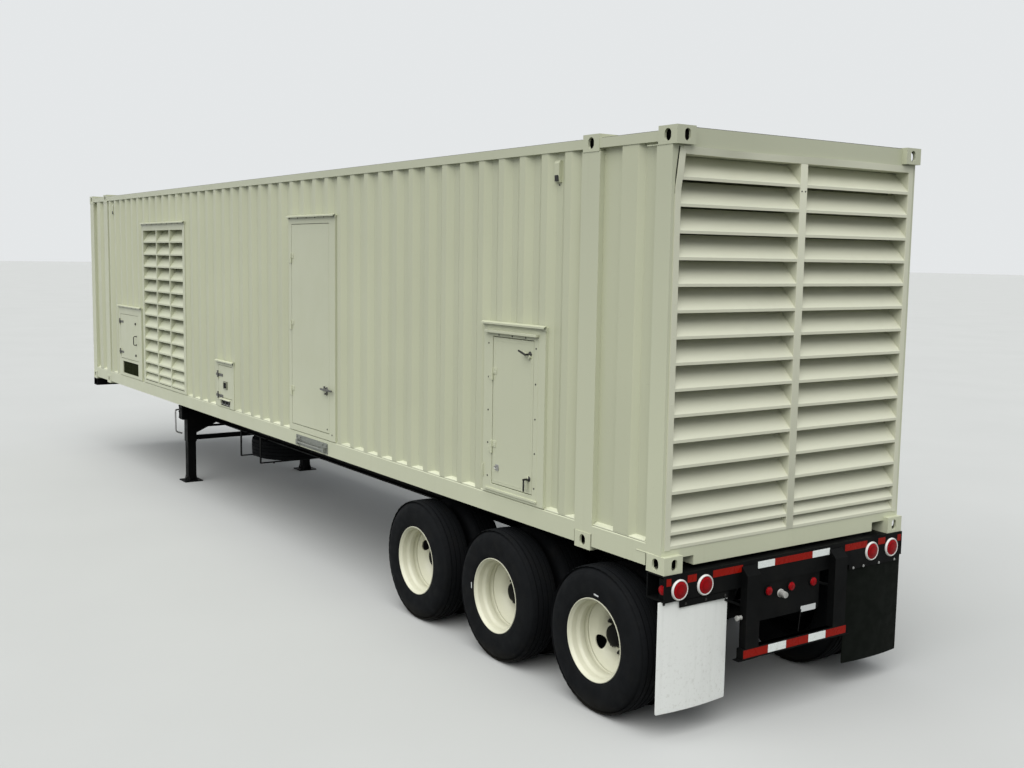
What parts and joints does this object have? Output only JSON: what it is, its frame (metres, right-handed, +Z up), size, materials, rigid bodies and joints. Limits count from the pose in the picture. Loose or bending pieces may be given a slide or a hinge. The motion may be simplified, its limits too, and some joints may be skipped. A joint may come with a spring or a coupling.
{
  "type": "trailer-mounted containerised diesel generator",
  "caption": "Walk-in corrugated container for a diesel generator set, with louvred intake and rear outlet, service doors, on its own tri-axle chassis with dual wheels and landing legs.",
  "frame": {"origin": "on the ground, in the middle of the whole object's length and width", "axes": "+X runs to the rear louvre end, +Y to the plain far side, +Z up; the service doors face -Y"},
  "size_m": [13.788, 2.59, 4.026],
  "materials": {
    "enclosure_paint": "semi-gloss cream-green paint on steel",
    "louvre_paint": "semi-gloss cream paint on folded sheet",
    "roof_paint": "cream paint, lightly weathered",
    "deck_paint": "grey primer on the floor and joists",
    "chassis_black": "satin black chassis paint",
    "wheel_cream": "off-white gloss wheel enamel",
    "tyre_rubber": "matte black tread rubber",
    "hardware_dark": "dark satin hardware",
    "guard_mesh": "dark green-black coated wire",
    "galvanised": "dull zinc coating",
    "lamp_lens": "red moulded lens",
    "flap_white": "smooth white rubber sheet"
  },
  "bodies": {
    "frame": {"corner_castings": "enclosure_paint", "lifting_castings": "enclosure_paint", "posts": "enclosure_paint", "bottom_side_rails": "enclosure_paint", "top_side_rails": "enclosure_paint", "end_beams": "enclosure_paint", "floor_deck": "deck_paint", "floor_joists": "deck_paint", "roof_panel": "roof_paint", "near_wall_panels": "enclosure_paint", "near_wall_heads": "enclosure_paint", "far_wall_panels": "enclosure_paint", "far_wall_heads": "enclosure_paint", "front_wall": "enclosure_paint", "intake_louvre_frames": "louvre_paint", "near_intake_blades": "louvre_paint", "far_intake_blades": "louvre_paint", "rear_louvre_frame": "louvre_paint", "rear_louvre_blades": "louvre_paint", "door_frames": "enclosure_paint", "cable_cabinet": "enclosure_paint", "fuel_cabinet": "enclosure_paint", "cable_guard": "guard_mesh", "far_door": "enclosure_paint", "step_plate": "galvanised", "wall_lamps": "enclosure_paint", "main_beams": "chassis_black", "cross_members": "chassis_black", "coupler": "chassis_black", "front_bolster": "chassis_black", "rear_bolster": "chassis_black", "rear_bumper": "chassis_black", "rear_lamps": "lamp_lens", "mud_flaps": "flap_white", "spring_hangers": "chassis_black", "leaf_springs": "chassis_black", "axles": "chassis_black", "landing_gear": "chassis_black", "spare_tyre": "tyre_rubber", "spare_cradle": "chassis_black"},
    "near_door": {"near_door": "enclosure_paint", "near_door_handle": "hardware_dark"},
    "access_door": {"access_door": "enclosure_paint"},
    "cable_panel_door": {"cable_panel_door": "enclosure_paint"},
    "fuel_panel_door": {"fuel_panel_door": "enclosure_paint"},
    "near_front_wheel_end": {"near_front_tyres": "tyre_rubber", "near_front_wheel": "wheel_cream"},
    "near_middle_wheel_end": {"near_middle_tyres": "tyre_rubber", "near_middle_wheel": "wheel_cream"},
    "near_rear_wheel_end": {"near_rear_tyres": "tyre_rubber", "near_rear_wheel": "wheel_cream"},
    "far_front_wheel_end": {"far_front_tyres": "tyre_rubber", "far_front_wheel": "wheel_cream"},
    "far_middle_wheel_end": {"far_middle_tyres": "tyre_rubber", "far_middle_wheel": "wheel_cream"},
    "far_rear_wheel_end": {"far_rear_tyres": "tyre_rubber", "far_rear_wheel": "wheel_cream"},
    "near_leg": {"near_landing_leg": "chassis_black"},
    "far_leg": {"far_landing_leg": "chassis_black"}
  },
  "joints": [
    {"name": "near_door_hinge", "type": "hinge", "parent": "frame", "child": "near_door", "pos_m": [0.941, -1.228, 2.435], "axis": [0, 0, -1], "range_deg": [0, 120]},
    {"name": "access_door_hinge", "type": "hinge", "parent": "frame", "child": "access_door", "pos_m": [4.783, -1.228, 1.98], "axis": [0, 0, -1], "range_deg": [0, 165]},
    {"name": "cable_panel_door_hinge", "type": "hinge", "parent": "frame", "child": "cable_panel_door", "pos_m": [-5.339, -1.228, 1.9095], "axis": [0, 0, -1], "range_deg": [0, 120]},
    {"name": "fuel_panel_door_hinge", "type": "hinge", "parent": "frame", "child": "fuel_panel_door", "pos_m": [-1.244, -1.228, 1.628], "axis": [0, 0, -1], "range_deg": [0, 120]},
    {"name": "near_front_wheel_spin", "type": "hinge", "parent": "frame", "child": "near_front_wheel_end", "pos_m": [3.689, -0.984, 0.525], "axis": [0, 1, 0], "continuous": true},
    {"name": "near_middle_wheel_spin", "type": "hinge", "parent": "frame", "child": "near_middle_wheel_end", "pos_m": [4.934, -0.984, 0.525], "axis": [0, 1, 0], "continuous": true},
    {"name": "near_rear_wheel_spin", "type": "hinge", "parent": "frame", "child": "near_rear_wheel_end", "pos_m": [6.179, -0.984, 0.525], "axis": [0, 1, 0], "continuous": true},
    {"name": "far_front_wheel_spin", "type": "hinge", "parent": "frame", "child": "far_front_wheel_end", "pos_m": [3.689, 0.984, 0.525], "axis": [0, 1, 0], "continuous": true},
    {"name": "far_middle_wheel_spin", "type": "hinge", "parent": "frame", "child": "far_middle_wheel_end", "pos_m": [4.934, 0.984, 0.525], "axis": [0, 1, 0], "continuous": true},
    {"name": "far_rear_wheel_spin", "type": "hinge", "parent": "frame", "child": "far_rear_wheel_end", "pos_m": [6.179, 0.984, 0.525], "axis": [0, 1, 0], "continuous": true},
    {"name": "near_leg_slide", "type": "slide", "parent": "frame", "child": "near_leg", "axis": [0, 0, 1], "range_m": [0, 0.33]},
    {"name": "far_leg_slide", "type": "slide", "parent": "frame", "child": "far_leg", "axis": [0, 0, 1], "range_m": [0, 0.33]}
  ],
  "couplings": [
    {"joint": "far_leg_slide", "follows": "near_leg_slide", "ratio": 1}
  ]
}
